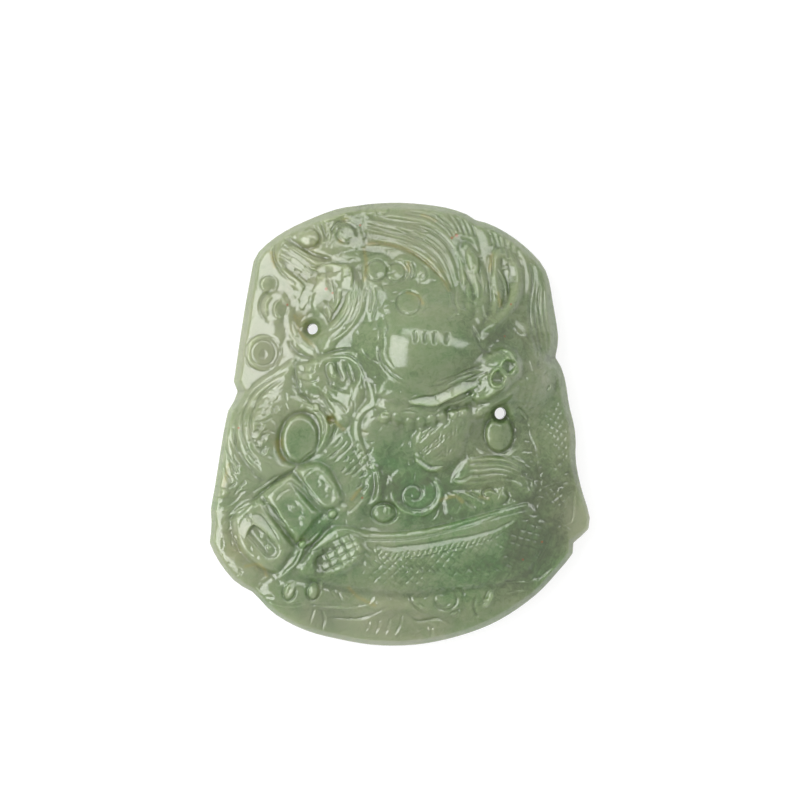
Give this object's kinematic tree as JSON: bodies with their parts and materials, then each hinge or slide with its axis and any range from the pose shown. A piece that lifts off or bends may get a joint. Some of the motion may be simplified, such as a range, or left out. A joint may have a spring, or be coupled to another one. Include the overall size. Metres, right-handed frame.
{
  "type": "carved jade dragon plaque",
  "caption": "Flat-backed jade plaque carved in high relief with a dragon among clouds and waves, pierced by two small drilled holes.",
  "frame": {"origin": "centre of the footprint's bounding box, on the flat back face", "axes": "the plaque lies on its back: +Z is the way the relief faces, +Y points to the top edge of the design, +X to the design's right as seen from the front"},
  "size_m": [0.0478, 0.056, 0.014],
  "materials": {
    "pale_jade": "polished",
    "sage_jade": "polished",
    "green_jade": "polished"
  },
  "bodies": {
    "root": {"plaque_ground": "pale_jade", "band_plate_1": "green_jade", "band_plate_2": "green_jade", "band_plate_3": "green_jade", "beaded_cord": "green_jade", "bottom_waves": "pale_jade", "brow_dome": "sage_jade", "cheek_tuft": "sage_jade", "claw": "sage_jade", "cloud_curl": "green_jade", "cloud_knob": "green_jade", "cloud_swirl": "green_jade", "corner_cloud_lower": "pale_jade", "corner_cloud_upper": "pale_jade", "corner_curl": "pale_jade", "crown_pearl_1": "sage_jade", "crown_pearl_2": "sage_jade", "crown_pearl_3": "sage_jade", "crown_pearl_4": "sage_jade", "crown_pearl_5": "sage_jade", "ear": "sage_jade", "feather_fan": "green_jade", "horn": "sage_jade", "left_coil": "sage_jade", "left_fringe": "sage_jade", "left_pearl": "sage_jade", "left_tendril": "sage_jade", "lip_fold": "sage_jade", "long_whisker": "sage_jade", "lower_body": "green_jade", "mane_left": "sage_jade", "mane_right": "sage_jade", "mane_top": "sage_jade", "right_coil": "sage_jade", "right_pearl": "sage_jade", "rim_cloud": "pale_jade", "rim_knob": "pale_jade", "rim_pearl": "pale_jade", "round_disc": "pale_jade", "side_tab": "pale_jade", "small_knob": "pale_jade", "snout": "sage_jade", "tail_tuft": "sage_jade", "temple_band": "sage_jade", "tongue": "sage_jade", "top_left_cloud": "sage_jade", "upper_loop": "sage_jade", "upper_teeth": "sage_jade", "wave_fin": "sage_jade"}
  },
  "joints": []
}
